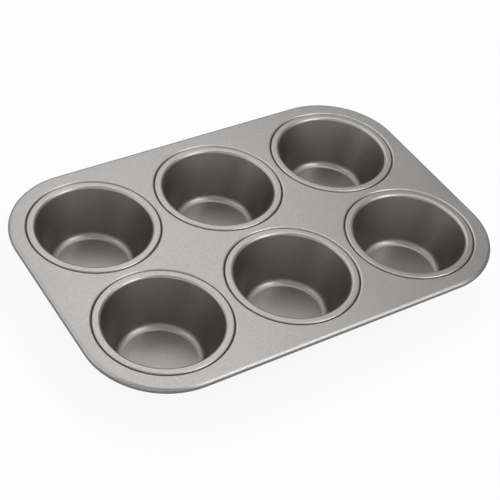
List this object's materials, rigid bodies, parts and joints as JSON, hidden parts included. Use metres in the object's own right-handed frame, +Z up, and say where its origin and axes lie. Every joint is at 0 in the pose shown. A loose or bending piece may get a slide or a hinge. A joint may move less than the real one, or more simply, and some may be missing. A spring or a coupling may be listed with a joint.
{
  "type": "muffin pan",
  "caption": "Deep-cup muffin pan: flat coated-steel tray with a wire-reinforced rolled rim and separately pressed tapered cups locked into stepped seats.",
  "frame": {"origin": "on the ground under the middle of the pan", "axes": "+X along the long side, +Y from the front long side to the back one, +Z up out of the cups"},
  "size_m": [0.3504, 0.242, 0.0428],
  "materials": {
    "tray_coat": "satin grey non-stick coat with fine metallic speckle",
    "cup_coat": "satin grey non-stick coat with fine metallic speckle",
    "wire_steel": "drawn steel wire"
  },
  "bodies": {
    "root": {"tray_frame": "tray_coat", "rim_wire": "wire_steel", "cup_front_left": "cup_coat", "cup_front_middle": "cup_coat", "cup_front_right": "cup_coat", "cup_back_left": "cup_coat", "cup_back_middle": "cup_coat", "cup_back_right": "cup_coat"}
  },
  "joints": []
}
